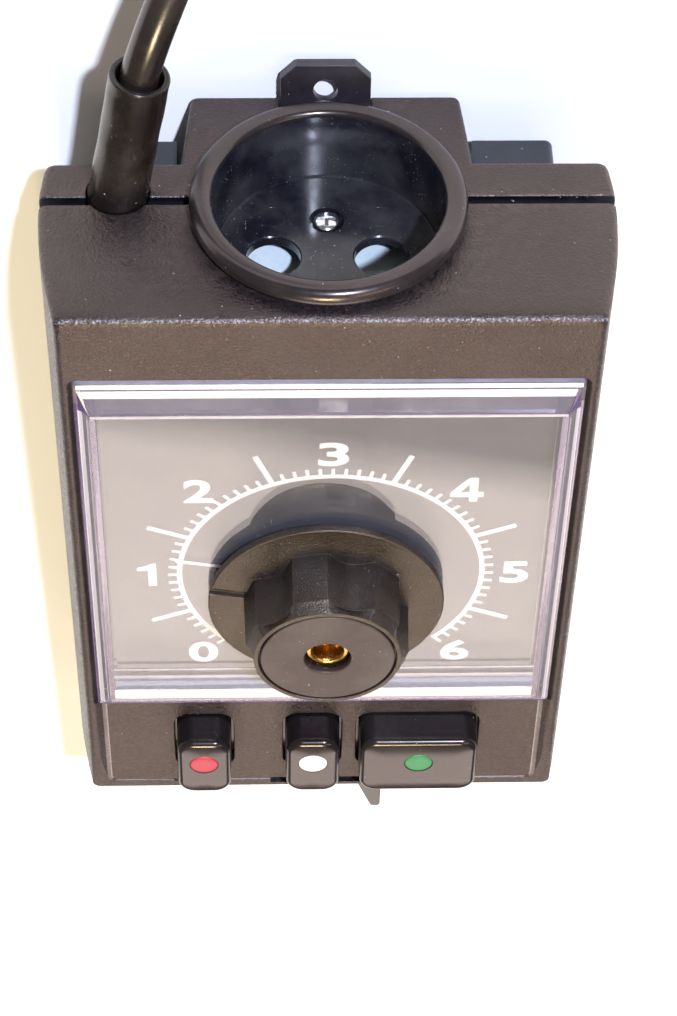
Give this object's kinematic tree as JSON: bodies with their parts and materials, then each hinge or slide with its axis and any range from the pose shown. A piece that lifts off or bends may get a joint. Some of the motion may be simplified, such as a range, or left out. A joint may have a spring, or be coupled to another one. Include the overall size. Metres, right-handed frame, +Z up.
{
  "type": "enlarger timer",
  "caption": "Darkroom enlarger timer: moulded case with a dial and knob under a clear window, three push buttons, a range slider, a mains outlet, a hanging tab and a cable.",
  "frame": {"origin": "on the bench, under the middle of the object's whole length with its cable, midway across the case", "axes": "+Z up from the bench the timer lies on; +Y from the button end to the outlet end; +X across the case to the right as the dial is read. The front panel is tilted 6.3 degrees from the bench."},
  "size_m": [0.1, 0.2554, 0.0656],
  "materials": {
    "black_grained_abs": "fine grained moulding, satin on the edges",
    "dark_smooth_abs": "smooth satin moulding",
    "black_gloss_plastic": "gloss",
    "clear_acrylic": "clear polished acrylic",
    "dial_black_enamel": "satin black with white print",
    "knob_phenolic": "fine grained moulding",
    "brass": "turned",
    "zinc_plated_steel": "zinc plated",
    "pale_ceramic": "unglazed pale steatite",
    "board_laminate": "paper laminate",
    "black_rubber": "matt",
    "cable_pvc": "soft semi-gloss",
    "enamelled_winding": "enamelled copper wire under varnish",
    "transformer_steel": "varnished laminations",
    "relay_case": "moulded case",
    "moulded_beige": "moulded",
    "capacitor_sleeve": "shrunk sleeve",
    "stop_dot_enamel": "enamel filled",
    "focus_dot_enamel": "enamel filled",
    "start_dot_enamel": "enamel filled"
  },
  "bodies": {
    "case": {"front_shell": "black_grained_abs", "back_shell": "black_grained_abs", "rear_cover": "dark_smooth_abs", "hanging_tab": "black_gloss_plastic", "stop_switch": "black_gloss_plastic", "focus_switch": "black_gloss_plastic", "start_switch": "black_gloss_plastic", "socket_well": "black_gloss_plastic", "dial_window": "clear_acrylic", "dial_plate": "dial_black_enamel", "socket_contact_left": "brass", "socket_contact_right": "brass", "tab_screw": "zinc_plated_steel", "cover_screw_1": "zinc_plated_steel", "cover_screw_2": "zinc_plated_steel", "pot_body": "zinc_plated_steel", "pot_washer": "zinc_plated_steel", "pot_nut": "zinc_plated_steel", "range_switch": "zinc_plated_steel", "fuse": "zinc_plated_steel", "socket_screw": "zinc_plated_steel", "case_screw_1": "zinc_plated_steel", "case_screw_2": "zinc_plated_steel", "case_screw_3": "zinc_plated_steel", "case_screw_4": "zinc_plated_steel", "board_screw_1": "zinc_plated_steel", "board_screw_2": "zinc_plated_steel", "board_screw_3": "zinc_plated_steel", "board_screw_4": "zinc_plated_steel", "socket_insert": "pale_ceramic", "circuit_board": "board_laminate", "foot_1": "black_rubber", "foot_2": "black_rubber", "foot_3": "black_rubber", "foot_4": "black_rubber", "cable_sleeve": "cable_pvc", "mains_cable": "cable_pvc", "transformer_coil": "enamelled_winding", "transformer_core": "transformer_steel", "relay": "relay_case", "fuse_holder": "moulded_beige", "terminal_block": "moulded_beige", "cord_clamp": "moulded_beige", "capacitor": "capacitor_sleeve"},
    "knob": {"knob_body": "knob_phenolic", "knob_cap": "knob_phenolic", "knob_collet": "brass", "pot_shaft": "brass", "cursor_arm": "clear_acrylic"},
    "stop_key": {"stop_button": "black_gloss_plastic", "stop_dot": "stop_dot_enamel"},
    "focus_key": {"focus_button": "black_gloss_plastic", "focus_dot": "focus_dot_enamel"},
    "start_key": {"start_button": "black_gloss_plastic", "start_dot": "start_dot_enamel"},
    "range_key": {"range_slider": "black_gloss_plastic"}
  },
  "joints": [
    {"name": "knob_turn", "type": "hinge", "parent": "case", "child": "knob", "pos_m": [0, -0.04922, 0.04455], "axis": [0, -0.1097, 0.994], "range_deg": [-213.75, 56.25]},
    {"name": "stop_press", "type": "slide", "parent": "case", "child": "stop_key", "axis": [0, 0.1097, -0.994], "range_m": [0, 0.003], "stiffness_N_per_m": 400},
    {"name": "focus_press", "type": "slide", "parent": "case", "child": "focus_key", "axis": [0, 0.1097, -0.994], "range_m": [0, 0.003], "stiffness_N_per_m": 400},
    {"name": "start_press", "type": "slide", "parent": "case", "child": "start_key", "axis": [0, 0.1097, -0.994], "range_m": [0, 0.003], "stiffness_N_per_m": 400},
    {"name": "range_slide", "type": "slide", "parent": "case", "child": "range_key", "axis": [1, 0, 0], "range_m": [-0.017, 0]}
  ]
}
